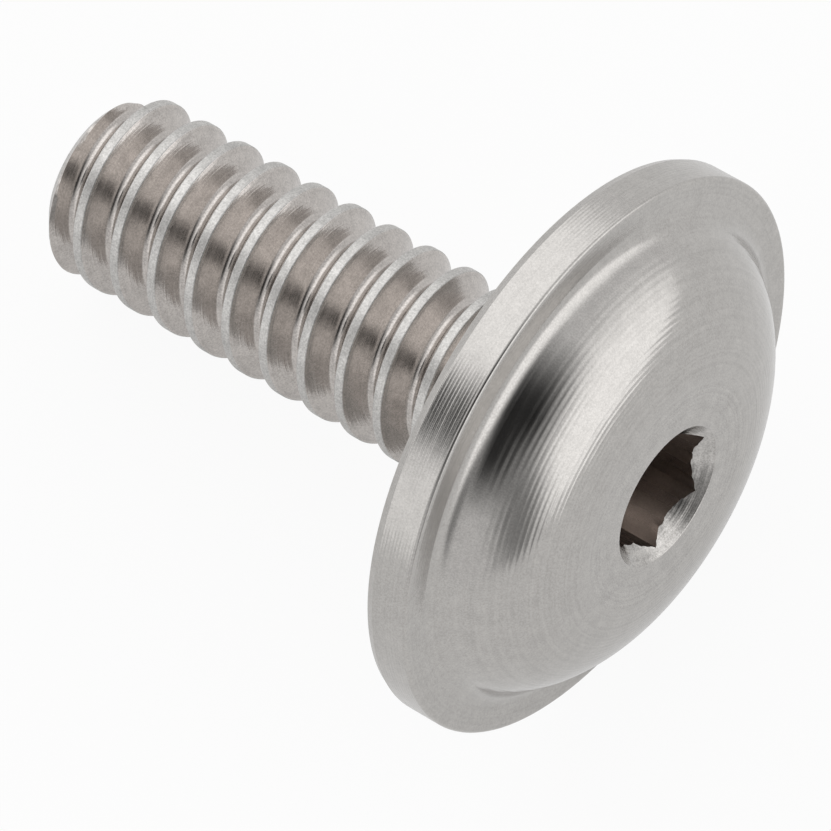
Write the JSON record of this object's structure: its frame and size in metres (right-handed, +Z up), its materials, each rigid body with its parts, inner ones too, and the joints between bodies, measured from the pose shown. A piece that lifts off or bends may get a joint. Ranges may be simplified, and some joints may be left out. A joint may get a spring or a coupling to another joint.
{
  "type": "button head socket screw",
  "caption": "Button head machine screw with a wide flange, a hexagon socket and a coarse right-hand thread, turned from bright steel and lying on its side.",
  "frame": {"origin": "on the floor, under the middle of the screw's box as it lies on its side", "axes": "+Z up; the screw's axis lies in the XZ plane and rises by 19.20 degrees from the tip, at -X, to the head, at +X"},
  "size_m": [0.0124, 0.01, 0.0096],
  "materials": {
    "bright_steel": "bright turned stainless steel"
  },
  "bodies": {
    "root": {"screw": "bright_steel"}
  },
  "joints": []
}
